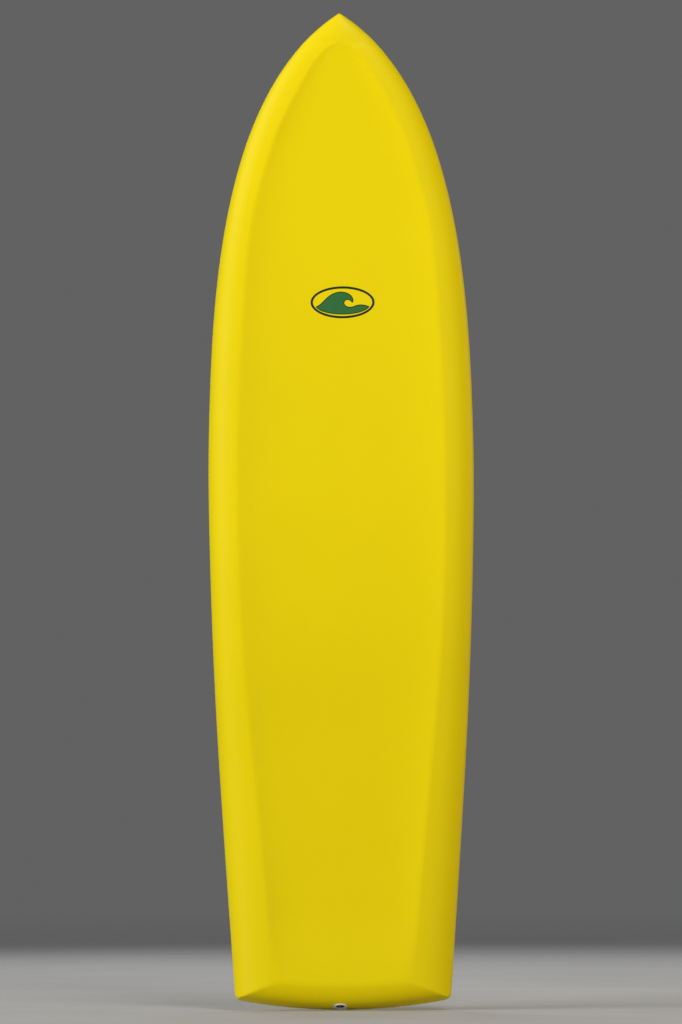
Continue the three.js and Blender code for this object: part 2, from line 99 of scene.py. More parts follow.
PLUG_FLANGE_R, PLUG_FLANGE_T, PLUG_BODY_R, PLUG_BORE_R, PLUG_DEPTH = 14.0, 1.6, 12.2, 8.4, 17.0
PLUG_PIN_R, PLUG_PIN_DEEP, PLUG_PIN_TURN = 1.8, 4.2, 75.0
BOX_LENGTH, BOX_WIDTH, BOX_BODY_WIDTH, BOX_FLANGE_T, BOX_DEPTH = 132.0, 18.0, 14.0, 2.2, 21.0
TAB_FROM, TAB_TO, TAB_T, TAB_DEPTH, TAB_PLAY, FIN_SEAT = -57.6, 43.6, 6.0, 17.2, 0.35, 0.5
SCREW_AT, SCREW_R, SCREW_PLAY, SCREW_LENGTH, SCREW_SUNK = 56.4, 2.35, 0.35, 9.0, 1.0
FINS = [
    ("front_left", -1, 190, 342, 3.0, 5.5, 112, 115),
    ("front_right", 1, 190, 342, 3.0, 5.5, 112, 115),
    ("rear_left", -1, 122, 196, 2.0, 4.0, 104, 103),
    ("rear_right", 1, 122, 196, 2.0, 4.0, 104, 103),
]
LEADING = [[0, 50], [0.12, 39], [0.25, 26.5], [0.4, 10.5], [0.55, -7], [0.7, -26.5], [0.85, -49], [0.94, -65], [1, -78]]
TRAILING = [
    [0, -62], [0.12, -62.2], [0.25, -62], [0.4, -62.8], [0.55, -65.5], [0.7, -70.5], [0.85, -77.2], [0.94, -81],
    [1, -82.5],
]
EMBLEM_X, EMBLEM_Z = 4.0, 1371.0


def spline(table):
    """A natural cubic spline through the table's points, for arrays."""
    x = np.array([p[0] for p in table], float)
    y = np.array([p[1] for p in table], float)
    n = len(x)
    m, c, d = np.zeros(n), np.zeros(n), np.zeros(n)
    for i in range(1, n - 1):
        a, b = x[i] - x[i - 1], x[i + 1] - x[i]
        r = 6 * ((y[i + 1] - y[i]) / b - (y[i] - y[i - 1]) / a)
        w = 2 * (a + b) - a * c[i - 1]
        c[i] = b / w
        d[i] = (r - a * d[i - 1]) / w
    for i in range(n - 2, 0, -1):
        m[i] = d[i] - c[i] * m[i + 1]

    def at(v):
        q = np.clip(np.asarray(v, float), x[0], x[-1])
        i = np.clip(np.searchsorted(x, q, side="left") - 1, 0, n - 2)
        h = x[i + 1] - x[i]
        a, b = (x[i + 1] - q) / h, (q - x[i]) / h
        return a * y[i] + b * y[i + 1] + ((a**3 - a) * m[i] + (b**3 - b) * m[i + 1]) * h * h / 6

    return at


half_width, depth, apex, panel_sq = spline(HALF_WIDTH), spline(DEPTH), spline(RAIL_APEX), spline(PANEL_SQ)
tail_face, leading, trailing = spline(TAIL_FACE), spline(LEADING), spline(TRAILING)


def rocker(z):
    z = np.asarray(z, float)
    nose = NOSE_ROCKER * (np.maximum(z - NOSE_ROCKER_FROM, 0) / (LENGTH - NOSE_ROCKER_FROM)) ** 2.4
    tail = TAIL_ROCKER * (np.maximum(TAIL_ROCKER_TO - z, 0) / TAIL_ROCKER_TO) ** 2
    return nose + tail


Y0 = TAIL_ROCKER + float(apex(0))


def bottom_y(z):
    return Y0 - rocker(z)


def smin(a, b, k):
    d = np.maximum(k - np.abs(a - b), 0) / k
    return np.minimum(a, b) - d * d * k / 4


def bevel(q):
    """Height gained from the rail's edge to the crest, both in shares; past the crest it rises on at its last slope."""
    t = np.clip(q, 0, 1)
    return 0.78 * np.sqrt(1 - (1 - t) ** 3) + 0.22 * np.maximum(q, 0)


def section(s, inset=0.0):
    """What shapes the rows at each distance s ahead of the tail's arc, pulled in by inset."""
    s = np.asarray(s, float)
    corner = np.where(
        s < TAIL_CORNER_R, TAIL_CORNER_R - np.sqrt(np.maximum(TAIL_CORNER_R**2 - (TAIL_CORNER_R - s) ** 2, 0)), 0
    )
    blend = np.where(s < 250, (1 - s / 250) ** 2, 0)
    z = s + TAIL_ARC * blend
    slope = np.abs(half_width(z + 2) - half_width(z - 2)) / 4
    lean = np.minimum(np.hypot(1, slope), 2.0)
    w = np.maximum(half_width(z) - corner - inset * lean, 0.8)
    return {
        "s": s,
        "blend": blend,
        "w": w,
        "panel": np.maximum(np.sqrt(np.maximum(panel_sq(z), 0)), np.minimum(0.6, 0.1 * w)),
        "crest": depth(z) - inset,
        "edge": apex(z),
        "floor": inset,
        "from": inset,
    }


def z_at(st, x):
    return st["s"] + TAIL_ARC * st["blend"] * (x / 209.35) ** 2


def deck_height(st, x):
    ax = np.abs(x)
    rise = st["crest"] - st["edge"]
    t = st["w"] - ax
    side = st["edge"] + rise * bevel(t / np.maximum(st["w"] - st["panel"], 1))
    fade = np.clip((st["s"] - 30) / 170, 0, 1)
    fade = np.minimum(1, st["panel"] / 120) * fade * fade * (3 - 2 * fade)
    top = st["crest"] - DISH * fade * (1 - np.minimum(ax / st["panel"], 1.1) ** 5)
    ahead = st["s"] - st["from"]
    tail = st["edge"] + rise * (tail_face(ahead) + 0.004 * np.maximum(ahead - TAIL_BEVEL, 0))
    k = np.clip(rise / 20, 0.05, 1)
    h = smin(smin(top, side, 2.0 * k), tail, 1.2 * k)
    h = np.where(ahead > 130, smin(top, side, 2.0 * k), h)
    return np.maximum(h, st["edge"])


def tuck_width(st):
    return np.minimum(RAIL_TUCK * np.minimum(1, 0.25 + st["s"] / 800), 0.8 * st["w"])


def bottom_height(st, x):
    t = st["w"] - np.abs(x)
    q = np.clip(np.minimum(t / tuck_width(st), (st["s"] - st["from"]) / 7), 0, 1)
    return st["floor"] + (st["edge"] - st["floor"]) * (1 - np.sqrt(np.maximum(1 - (1 - q) ** 2.2, 0)))


# ------------------------------------------------------------------ the fine grid of the whole outer surface
LAP = 24.0
ROWS = np.concatenate(
    [
        [0, 0.12, 0.3, 0.55, 0.85, 1.2, 1.65, 2.2, 2.9, 3.6],
        np.arange(4.4, 16, 0.9),
        np.arange(16, 70, 1.6),
        np.arange(70, 130, 4),
        np.arange(132, 1780, 9.0),
        np.arange(1780, 1880, 4.5),
        np.arange(1880, 1926, 1.6),
        LENGTH - 3.4 + 3.4 * np.sin(np.radians([6, 18, 30, 42, 54, 65, 75, 83])),
    ]
)
RIM_N, SIDE_N, TOP_N = 17, 24, 17
COLS = RIM_N + SIDE_N + TOP_N  # on each side


def half_columns(st):
    """The columns' distances from the middle on one side, from the rim in: the rim's roll, the bevel, the panel."""
    w, c = st["w"][:, None], st["panel"][:, None]
    lap = np.minimum(LAP, 0.5 * (w - c))
    rim = w - lap * (np.arange(RIM_N) / RIM_N) ** 2.1
    side = c + (w - lap - c) * (1 - np.arange(SIDE_N) / SIDE_N) ** 1.35
    top = c * (1 - (np.arange(TOP_N + 1) / TOP_N) ** 1.6)
    return np.concatenate([rim, side, top], axis=1)


def outer_grid(inset, lift=0.0):
    """Points of the deck and the bottom on one shared grid of rows and columns, in metres, and the nose's tip."""
    end = LENGTH - (3.6 * inset + 0.2 if inset else 0)
    s = inset + ROWS / LENGTH * (end - inset)
    st = section(s, inset)
    tip_r = 3.4
    close = np.where(ROWS > LENGTH - tip_r, np.sqrt(np.maximum(1 - ((ROWS - (LENGTH - tip_r)) / tip_r) ** 2, 0)), 1.0)
    half = half_columns(st)
    x = np.concatenate([-half, half[:, -2::-1]], axis=1)
    full = {k: (v[:, None] if isinstance(v, np.ndarray) else v) for k, v in st.items()}
    up = deck_height(full, x)
    down = bottom_height(full, x)
    edge = full["edge"] + np.zeros_like(x)
    if lift:
        t = full["w"] - np.abs(x)
        q = np.clip(np.minimum(t / 15, full["s"] / 15), 0, 1)
        down = down - lift * q * q * (3 - 2 * q) * close[:, None]
    up = edge + (up - edge) * close[:, None]
    down = edge + (down - edge) * close[:, None]
    up[0], down[0] = edge[0], edge[0]
    for g in (up, down):
        g[:, 0], g[:, -1] = edge[:, 0], edge[:, -1]
    z = z_at(full, x)
    xs = x * close[:, None]
    deck = np.stack([xs, bottom_y(z) - up, z], -1)
    under = np.stack([xs, bottom_y(z) - down, z], -1)
    tip_z = float(s[-1]) + 0.02 + (0.03 if not inset else 0)
    tip = np.array([[0, float(bottom_y(tip_z)) - float(st["edge"][-1]), tip_z]])
    return np.concatenate([deck.reshape(-1, 3), under.reshape(-1, 3), tip]) * MM


R, C = len(ROWS), 2 * COLS + 1
deck_id = np.arange(R * C).reshape(R, C)
under_id = deck_id + R * C
under_id[0] = deck_id[0]
under_id[:, 0] = deck_id[:, 0]
under_id[:, -1] = deck_id[:, -1]
tip_id = 2 * R * C

lap_row = int(np.argmin(np.abs(ROWS - LAP)))
end_row = int(np.argmin(np.abs(ROWS - (LENGTH - 26))))


def quads(grid, turn):
    a, b, c, d = grid[:-1, :-1], grid[:-1, 1:], grid[1:, 1:], grid[1:, :-1]
    return np.stack([a, d, c, b] if turn else [a, b, c, d], -1)


deck_quads = quads(deck_id, False)
under_quads = quads(under_id, True)
inside = np.zeros(under_quads.shape[:2], bool)
inside[lap_row:end_row, RIM_N : C - 1 - RIM_N] = True
deck_faces = [list(map(int, f)) for f in deck_quads.reshape(-1, 4)]
deck_faces += [list(map(int, f)) for f in under_quads[~inside]]
under_faces = [list(map(int, f)) for f in under_quads[inside]]
for i in range(C - 1):
    deck_faces.append([int(deck_id[-1, i]), int(deck_id[-1, i + 1]), tip_id])
    deck_faces.append([int(under_id[-1, i + 1]), int(under_id[-1, i]), tip_id])


# ------------------------------------------------------------------ mesh helpers
def mesh_object(name, points, faces, smooth=40.0):
    mesh = bpy.data.meshes.new(name)
    mesh.from_pydata([tuple(map(float, p)) for p in points], [], faces)
    mesh.validate()
    mesh.update()
    obj = bpy.data.objects.new(name, mesh)
    scene.collection.objects.link(obj)
    shade(obj, smooth)
    return obj


def shade(obj, degrees=40.0):
    obj.data.polygons.foreach_set("use_smooth", [True] * len(obj.data.polygons))
    obj.data.set_sharp_from_angle(angle=math.radians(degrees))
    obj.data.update()


def shell(name, outer, inner, faces, smooth=40.0):
    """A closed sheet: the outer faces, the same faces on the inner points turned over, and a wall along the rim."""
    used = sorted({i for f in faces for i in f})
    at = {v: k for k, v in enumerate(used)}
    n = len(used)
    out = [[at[i] for i in f] for f in faces]
    rim = set()
    for f in out:
        for a, b in zip(f, f[1:] + f[:1]):
            if (b, a) in rim:
                rim.discard((b, a))
            else:
                rim.add((a, b))
    made = out + [[i + n for i in reversed(f)] for f in out] + [[b, a, a + n, b + n] for a, b in sorted(rim)]
    points = np.concatenate([outer[used], inner[used]])
    return mesh_object(name, points, made, smooth)


def boolean(obj, cutter, operation="DIFFERENCE"):
    """Joins or cuts with the cutter and removes it."""
    m = obj.modifiers.new("cut", "BOOLEAN")
    m.operation, m.object = operation, cutter
    m.solver = "MANIFOLD"
    bpy.context.view_layer.update()
    made = bpy.data.meshes.new_from_object(obj.evaluated_get(bpy.context.evaluated_depsgraph_get()))
    if not len(made.polygons):
        m.solver = "EXACT"
        bpy.context.view_layer.update()
        made = bpy.data.meshes.new_from_object(obj.evaluated_get(bpy.context.evaluated_depsgraph_get()))
    obj.modifiers.clear()
    old, obj.data = obj.data, made
    made.name = obj.name
    bpy.data.meshes.remove(old)
    bpy.data.objects.remove(cutter)
    return obj


def lathe(name, profile, matrix, steps=96, smooth=40.0):
    """Turns a closed profile of (radius, height) about local y; points on the axis become one vertex."""
    points, rings = [], []
    for r, y in profile:
        if r < 1e-6:
            rings.append([len(points)] * steps)
            points.append((0.0, y, 0.0))
        else:
            rings.append(list(range(len(points), len(points) + steps)))
            points += [
                (r * math.cos(2 * math.pi * k / steps), y, r * math.sin(2 * math.pi * k / steps)) for k in range(steps)
            ]
    faces = []
    pairs = list(zip(rings, rings[1:]))
    if profile[0][0] > 1e-6:
        pairs.append((rings[-1], rings[0]))
    for a, b in pairs:
        for k in range(steps):
            q = (k + 1) % steps
            f = []
            for i in (a[k], a[q], b[q], b[k]):
                if i not in f:
                    f.append(i)
            if len(f) > 2:
                faces.append(f)
    obj = mesh_object(name, [tuple(matrix @ Vector(p) * MM) for p in points], faces, smooth)
    return outward(obj)


def outward(obj):
    """Turns the faces over where the closed mesh is inside out."""
    m = obj.data
    volume = 0.0
    for p in m.polygons:
        v = [m.vertices[i].co for i in p.vertices]
        for i in range(1, len(v) - 1):
            volume += v[0].dot(v[i].cross(v[i + 1]))
    if volume < 0:
        m.flip_normals()
        m.update()
    return obj


def loft(name, loops, matrix, smooth=40.0):
    """A closed body through loops of the same number of points, capped at both ends, in local millimetres."""
    n = len(loops[0])
    points = [tuple(matrix @ Vector(p) * MM) for loop in loops for p in loop]
    faces = []
    for j in range(len(loops) - 1):
        for i in range(n):
            q = (i + 1) % n
            faces.append([j * n + i, j * n + q, (j + 1) * n + q, (j + 1) * n + i])
    faces.append(list(range(n - 1, -1, -1)))
    faces.append([(len(loops) - 1) * n + i for i in range(n)])
    return outward(mesh_object(name, points, faces, smooth))


def slotted_loop(z0, z1, width, y, steps=20):
    r = width / 2
    arc = [math.pi + math.pi * k / steps for k in range(steps + 1)]
    return [(r * math.cos(a), y, z0 + r + r * math.sin(a)) for a in arc] + [
        (r * math.cos(a), y, z1 - r + r * math.sin(a)) for a in [math.pi * k / steps for k in range(steps + 1)]
    ]


def rect_loop(x0, x1, z0, z1, y, r=0.0, steps=5):
    if r <= 0:
        return [(x0, y, z0), (x1, y, z0), (x1, y, z1), (x0, y, z1)]
    loop = []
    for cx, cz, start in ((x0 + r, z0 + r, 180), (x1 - r, z0 + r, 270), (x1 - r, z1 - r, 0), (x0 + r, z1 - r, 90)):
        for k in range(steps + 1):
            a = math.radians(start + 90 * k / steps)
            loop.append((cx + r * math.cos(a), y, cz + r * math.sin(a)))
    return loop


def basis(ex, ey, ez, at):
    return Matrix(
        ((ex[0], ey[0], ez[0], at[0]), (ex[1], ey[1], ez[1], at[1]), (ex[2], ey[2], ez[2], at[2]), (0, 0, 0, 1))
    )


def bottom_frame(x, z, toe):
    dy = float(bottom_y(z + 1) - bottom_y(z - 1)) / 2
    ez = Vector((0, dy, 1)).normalized()
    ex = Vector((1, 0, 0))
    ey = ez.cross(ex)
    turn = Matrix.Rotation(-math.copysign(1, x) * math.radians(toe), 4, "Y")
    return basis(ex, ey, ez, (x, float(bottom_y(z)), z)) @ turn


tilt = math.radians(PLUG_TILT)
plug_n = Vector((0, -math.cos(tilt), -math.sin(tilt)))
plug_frame = basis(
    Vector((1, 0, 0)),
    plug_n,
    Vector((1, 0, 0)).cross(plug_n),
    (PLUG_X, float(bottom_y(PLUG_Z)) - PLUG_HEIGHT, PLUG_Z),
)
pin_frame = (
    plug_frame
    @ Matrix.Translation((0, -PLUG_PIN_DEEP, 0))
    @ Matrix.Rotation(math.radians(PLUG_PIN_TURN), 4, "Y")
    @ Matrix.Rotation(math.pi / 2, 4, "Z")
)
box_frames = [bottom_frame(side * x, z, toe) for _, side, x, z, toe, *_ in FINS]

# ------------------------------------------------------------------ materials
mats = {}


class Nodes:
    """Small helper to wire a procedural material."""

    def __init__(self, name):
        self.mat = bpy.data.materials.new(name)
        self.mat.use_nodes = True
        self.tree = self.mat.node_tree
        self.tree.nodes.clear()
        self.out = self.add("ShaderNodeOutputMaterial")
        self.bsdf = self.add("ShaderNodeBsdfPrincipled")
        self.link(self.bsdf.outputs["BSDF"], self.out.inputs["Surface"])
        self.where = self.add("ShaderNodeTexCoord").outputs["Object"]

    def add(self, kind, **props):
        n = self.tree.nodes.new(kind)
        for k, v in props.items():
            setattr(n, k, v)
        return n

    def link(self, a, b):
        self.tree.links.new(a, b)

    def scaled(self, scale, turn=(0, 0, 0)):
        m = self.add("ShaderNodeMapping")
        m.inputs["Scale"].default_value = scale
        m.inputs["Rotation"].default_value = turn
        self.link(self.where, m.inputs["Vector"])
        return m.outputs["Vector"]

    def noise(self, scale, detail=2.0, rough=0.5, vector=None, distortion=0.0):
        n = self.add("ShaderNodeTexNoise")
        n.inputs["Scale"].default_value = scale
        n.inputs["Detail"].default_value = detail
        n.inputs["Roughness"].default_value = rough
        n.inputs["Distortion"].default_value = distortion
        self.link(vector or self.where, n.inputs["Vector"])
        return n.outputs["Fac"]

    def span(self, value, a, b, c, d):
        m = self.add("ShaderNodeMapRange")
        m.inputs["From Min"].default_value = a
        m.inputs["From Max"].default_value = b
        m.inputs["To Min"].default_value = c
        m.inputs["To Max"].default_value = d
        self.link(value, m.inputs["Value"])
        return m.outputs["Result"]

    def math(self, op, a, b, clamp=False):
        m = self.add("ShaderNodeMath", operation=op, use_clamp=clamp)
        for i, v in enumerate((a, b)):
            if v is None:
                continue
            if isinstance(v, (int, float)):
                m.inputs[i].default_value = v
            else:
                self.link(v, m.inputs[i])
        return m.outputs[0]

    def mix(self, fac, a, b):
        m = self.add("ShaderNodeMix", data_type="RGBA")
        if isinstance(fac, (int, float)):
            m.inputs["Factor"].default_value = fac
        else:
            self.link(fac, m.inputs["Factor"])
        for key, v in (("A", a), ("B", b)):
            s = [i for i in m.inputs if i.name == key and i.type == "RGBA"][0]
            if isinstance(v, tuple):
                s.default_value = (*v, 1.0)
            else:
                self.link(v, s)
        return [o for o in m.outputs if o.type == "RGBA"][0]

    def bump(self, height, strength, distance, normal=None):
        b = self.add("ShaderNodeBump")
        b.inputs["Strength"].default_value = strength
        b.inputs["Distance"].default_value = distance
        self.link(height, b.inputs["Height"])
        if normal is not None:
            self.link(normal, b.inputs["Normal"])
        return b.outputs["Normal"]

    def base(self, color):
        self.link(color, self.bsdf.inputs["Base Color"])

    def rough(self, value):
        self.link(value, self.bsdf.inputs["Roughness"])

    def normal(self, value):
        self.link(value, self.bsdf.inputs["Normal"])

    def set(self, **values):
        for k, v in values.items():
            self.bsdf.inputs[k.replace("_", " ")].default_value = v


YELLOW = (0.772, 0.614, 0.0008)


def laminate(name, base, lap_dark=0.0):
    """Tinted resin over glass cloth, rubbed down to a satin finish."""
    n = Nodes(name)
    broad = n.noise(2.3, 3.0, 0.55)
    tint = n.mix(n.span(broad, 0.3, 0.7, 0, 1), tuple(c * 0.975 for c in base), tuple(min(c * 1.02, 1) for c in base))
    speck = n.noise(620, 3.0, 0.6)
    tint = n.mix(n.span(speck, 0.52, 0.78, 0, 0.10), tint, tuple(c * 0.72 for c in base))
    cloud = n.noise(38, 4.0, 0.6)
    tint = n.mix(n.span(cloud, 0.45, 0.75, 0, 0.05), tint, tuple(c * 0.86 for c in base))
    if lap_dark:
        geo = n.add("ShaderNodeNewGeometry")
        part = n.add("ShaderNodeSeparateXYZ")
        n.link(geo.outputs["Normal"], part.inputs[0])
        tint = n.mix(n.span(part.outputs["Y"], 0.35, 0.7, 0, lap_dark), tint, tuple(c * 0.8 for c in base))
    n.base(tint)
    rub = n.noise(1.0, 3.0, 0.6, n.scaled((900, 900, 26), (0, 0.05, 0)))
    cross = n.noise(1.0, 2.0, 0.6, n.scaled((700, 700, 60), (0, 1.1, 0)))
    r = n.span(cloud, 0.3, 0.7, 0.40, 0.46)
    r = n.math("ADD", r, n.span(rub, 0.3, 0.7, -0.02, 0.025))
    n.rough(r)
    weave_u = n.add("ShaderNodeTexWave", wave_type="BANDS", bands_direction="X")
    weave_u.inputs["Scale"].default_value = 160
    weave_u.inputs["Distortion"].default_value = 0.6
    n.link(n.where, weave_u.inputs["Vector"])
    weave_v = n.add("ShaderNodeTexWave", wave_type="BANDS", bands_direction="Z")
    weave_v.inputs["Scale"].default_value = 160
    weave_v.inputs["Distortion"].default_value = 0.6
    n.link(n.where, weave_v.inputs["Vector"])
    weave = n.math("MULTIPLY", weave_u.outputs["Fac"], weave_v.outputs["Fac"])
    peel = n.noise(95, 2.0, 0.5)
    normal = n.bump(peel, 0.10, 0.0006)
    normal = n.bump(weave, 0.02, 0.0003, normal)
    normal = n.bump(n.math("ADD", rub, cross), 0.035, 0.0003, normal)
    n.normal(normal)
    n.set(Specular_IOR_Level=0.1)
    return n.mat


def plastic(name, base, rough=0.38, spec=0.45, grain=1400, variation=0.05, bump=0.06):
    n = Nodes(name)
    broad = n.noise(60, 3.0, 0.6)
    tint = n.mix(n.span(broad, 0.3, 0.7, 0, 1), tuple(c * (1 - variation) for c in base), base)
    n.base(tint)
    fine = n.noise(grain, 2.0, 0.5)
    n.rough(n.span(fine, 0.3, 0.7, rough - 0.05, rough + 0.06))
    n.normal(n.bump(fine, bump, 0.0002))
    n.set(Specular_IOR_Level=spec)
    return n.mat


def plug_plastic(name):
    """The plug's white plastic, with painted shade turning it near black down inside its well."""
    n = Nodes(name)
    fine = n.noise(1200, 2.0, 0.5)
    painted_shade_depth = n.add("ShaderNodeVectorMath", operation="DOT_PRODUCT")
    painted_shade_depth.inputs[1].default_value = tuple(-plug_n)
    n.link(n.where, painted_shade_depth.inputs[0])
    rim = -plug_n.dot(plug_frame.translation) * MM
    tint = n.mix(n.span(n.noise(60, 3.0, 0.6), 0.3, 0.7, 0, 1), (0.83, 0.82, 0.79), (0.88, 0.87, 0.85))
    # painted shade: from about 0.9 mm into the well the plastic is mixed towards near black, fully by 3 mm
    tint = n.mix(n.span(painted_shade_depth.outputs["Value"], rim + 0.0009, rim + 0.0030, 0, 1), tint, (0.05, 0.045, 0.035))
    n.base(tint)
    n.rough(n.span(fine, 0.3, 0.7, 0.26, 0.36))
    n.normal(n.bump(fine, 0.06, 0.0002))
    n.set(Specular_IOR_Level=0.5)
    return n.mat


def steel(name):
    n = Nodes(name)
    lines = n.noise(1.0, 3.0, 0.6, n.scaled((2600, 2600, 160)))
    n.base(n.mix(n.span(lines, 0.3, 0.7, 0, 1), (0.52, 0.53, 0.55), (0.72, 0.73, 0.75)))
    n.rough(n.span(lines, 0.3, 0.7, 0.22, 0.36))
    n.normal(n.bump(lines, 0.08, 0.0002))
    n.set(Metallic=1.0)
    return n.mat


def foam(name):
    n = Nodes(name)
    beads = n.add("ShaderNodeTexVoronoi", feature="F1")
    beads.inputs["Scale"].default_value = 380
    n.link(n.where, beads.inputs["Vector"])
    d = beads.outputs["Distance"]
    n.base(n.mix(n.span(d, 0.2, 0.75, 0, 1), (0.90, 0.89, 0.86), (0.74, 0.73, 0.69)))
    n.rough(n.span(n.noise(300, 2), 0.3, 0.7, 0.85, 0.95))
    n.normal(n.bump(d, 0.35, 0.0008))
    return n.mat


def wood(name):
    n = Nodes(name)
    grain = n.noise(1.0, 5.0, 0.62, n.scaled((260, 260, 7)), 0.4)
    rings = n.add("ShaderNodeTexWave", wave_type="BANDS", bands_direction="Y")
    rings.inputs["Scale"].default_value = 45
    rings.inputs["Distortion"].default_value = 5.0
    rings.inputs["Detail"].default_value = 3.0
    n.link(n.scaled((1, 1, 0.06)), rings.inputs["Vector"])
    tone = n.mix(n.span(grain, 0.3, 0.7, 0, 1), (0.40, 0.24, 0.11), (0.62, 0.42, 0.22))
    tone = n.mix(n.span(rings.outputs["Fac"], 0.2, 0.8, 0, 0.35), tone, (0.30, 0.17, 0.07))
    n.base(tone)
    n.rough(n.span(grain, 0.3, 0.7, 0.55, 0.7))
    n.normal(n.bump(grain, 0.2, 0.0004))
    return n.mat


def print_ink(name, base):
    n = Nodes(name)
    fine = n.noise(420, 3.0, 0.6)
    n.base(n.mix(n.span(fine, 0.35, 0.75, 0, 1), base, tuple(c * 0.82 for c in base)))
    n.rough(n.span(n.noise(900, 2), 0.3, 0.7, 0.36, 0.46))
    n.normal(n.bump(n.noise(95, 2.0), 0.10, 0.0006))
    n.set(Specular_IOR_Level=0.1)
    return n.mat


def glass_cloth(name):
    """A fin's laid-up glass cloth: a dark resin with a faint square weave under a polished coat."""
    n = Nodes(name)
    u = n.add("ShaderNodeTexWave", wave_type="BANDS", bands_direction="Y")
    u.inputs["Scale"].default_value = 190
    u.inputs["Distortion"].default_value = 0.8
    n.link(n.where, u.inputs["Vector"])
    v = n.add("ShaderNodeTexWave", wave_type="BANDS", bands_direction="Z")
    v.inputs["Scale"].default_value = 190
    v.inputs["Distortion"].default_value = 0.8
    n.link(n.where, v.inputs["Vector"])
    weave = n.math("MULTIPLY", u.outputs["Fac"], v.outputs["Fac"])
    cloud = n.noise(26, 3.0, 0.6)
    tone = n.mix(n.span(weave, 0.0, 0.9, 0, 1), (0.010, 0.011, 0.012), (0.040, 0.043, 0.047))
    tone = n.mix(n.span(cloud, 0.4, 0.7, 0, 0.4), tone, (0.022, 0.024, 0.027))
    n.base(tone)
    n.rough(n.span(cloud, 0.3, 0.7, 0.20, 0.30))
    n.normal(n.bump(weave, 0.05, 0.0002))
    n.set(Specular_IOR_Level=0.5)
    n.bsdf.inputs["Coat Weight"].default_value = 0.4
    n.bsdf.inputs["Coat Roughness"].default_value = 0.12
    return n.mat


mats["deck"] = laminate("deck_glass", YELLOW, 0.35)
mats["bottom"] = laminate("bottom_glass", YELLOW)
mats["foam"] = foam("blank_foam")
mats["wood"] = wood("stringer_wood")
mats["plug"] = plug_plastic("plug_plastic")
mats["steel"] = steel("steel")
mats["box"] = plastic("box_plastic", (0.84, 0.84, 0.82), 0.42, 0.45, 1500, 0.05, 0.10)
mats["fin"] = glass_cloth("fin_glass")
mats["dark"] = print_ink("ink_dark", (0.016, 0.030, 0.016))
mats["green"] = print_ink("ink_green", (0.034, 0.155, 0.045))


def dress(obj, key):
    obj.data.materials.clear()
    obj.data.materials.append(mats[key])
    return obj


def piece(obj, key, slot, body, *stands_for):
    dress(obj, key)
    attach(obj, body)
    if stands_for:
        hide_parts(*stands_for)
    return obj


for name, key in (("foam_core_left", "foam"), ("foam_core_right", "foam"), ("stringer", "wood")):
    dress(nodes[name], key)

# ------------------------------------------------------------------ laminates
outer_deck = outer_grid(0.0, 0.35)
outer_under = outer_grid(0.0)
inner = outer_grid(SKIN)
deck = shell("deck_skin", outer_deck, inner, deck_faces)
under = shell("bottom_skin", outer_under, inner, under_faces)

plug_cut = lathe(
    "plug_cut",
    [(0, -PLUG_DEPTH - 2.5), (PLUG_BODY_R + 0.2, -PLUG_DEPTH - 2.5), (PLUG_BODY_R + 0.2, -PLUG_FLANGE_T - 0.2)]
    + [(PLUG_FLANGE_R + 0.12, -PLUG_FLANGE_T - 0.2), (PLUG_FLANGE_R + 0.12, 9), (0, 9)],
    plug_frame,
    96,
)
boolean(deck, plug_cut)
for f in box_frames:
    cut = loft(
        "box_cut",
        [
            slotted_loop(-BOX_LENGTH / 2 - 0.12, BOX_LENGTH / 2 + 0.12, BOX_WIDTH + 0.24, y)
            for y in (-BOX_DEPTH - 1.0, 5.0)
        ],
        f,
    )
    boolean(under, cut)
shade(deck, 42)
shade(under, 42)
piece(deck, "deck", "laminate", "board", "deck_laminate")
piece(under, "bottom", "laminate", "board", "bottom_laminate")

# ------------------------------------------------------------------ leash plug
arc = [(13.4 + 0.6 * math.sin(math.radians(a)), -0.6 + 0.6 * math.cos(math.radians(a))) for a in range(0, 91, 15)]
lip = [
    (PLUG_BORE_R + 0.7 - 0.7 * math.sin(math.radians(a)), -0.7 + 0.7 * math.cos(math.radians(a)))
    for a in range(90, -1, -15)
]
cup = lathe(
    "plug_cup",
    [(0, -15.2), (PLUG_BORE_R - 1.5, -15.2), (PLUG_BORE_R - 0.5, -14.8), (PLUG_BORE_R, -13.8)]
    + lip
    + [(10.2, 0.12), (12.2, 0.12)]
    + arc
    + [(PLUG_FLANGE_R, -1.35), (PLUG_FLANGE_R - 0.2, -PLUG_FLANGE_T), (PLUG_BODY_R, -PLUG_FLANGE_T - 0.1)]
    + [(PLUG_BODY_R, -17.0), (PLUG_BODY_R - 0.6, -17.4), (0, -17.4)],
    plug_frame,
    120,
    35,
)
piece(cup, "plug", "plug", "board", "leash_plug_cup")
half_pin = PLUG_BORE_R + 0.9
pin = lathe(
    "plug_pin",
    [(0, -half_pin), (1.5, -half_pin), (PLUG_PIN_R, -half_pin + 0.3), (PLUG_PIN_R, half_pin - 0.3), (1.5, half_pin)]
    + [(0, half_pin)],
    pin_frame,
    48,
)
piece(pin, "steel", "steel", "board", "leash_plug_pin")


# ------------------------------------------------------------------ emblem
def bezier(p0, *curves, steps=26):
    points = [p0]
    for c1, c2, p1 in curves:
        a = points[-1]
        for k in range(1, steps + 1):
            t = k / steps
            u = 1 - t
            points.append(
                tuple(u**3 * a[i] + 3 * u * u * t * c1[i] + 3 * u * t * t * c2[i] + t**3 * p1[i] for i in (0, 1))
            )
    return points[:-1]


def deck_points(xy, above):
    x = EMBLEM_X + xy[:, 0]
    z = EMBLEM_Z + xy[:, 1]
    st = section(z)
    h = deck_height(st, x) + above
    return np.stack([x, bottom_y(z) - h, z], -1) * MM


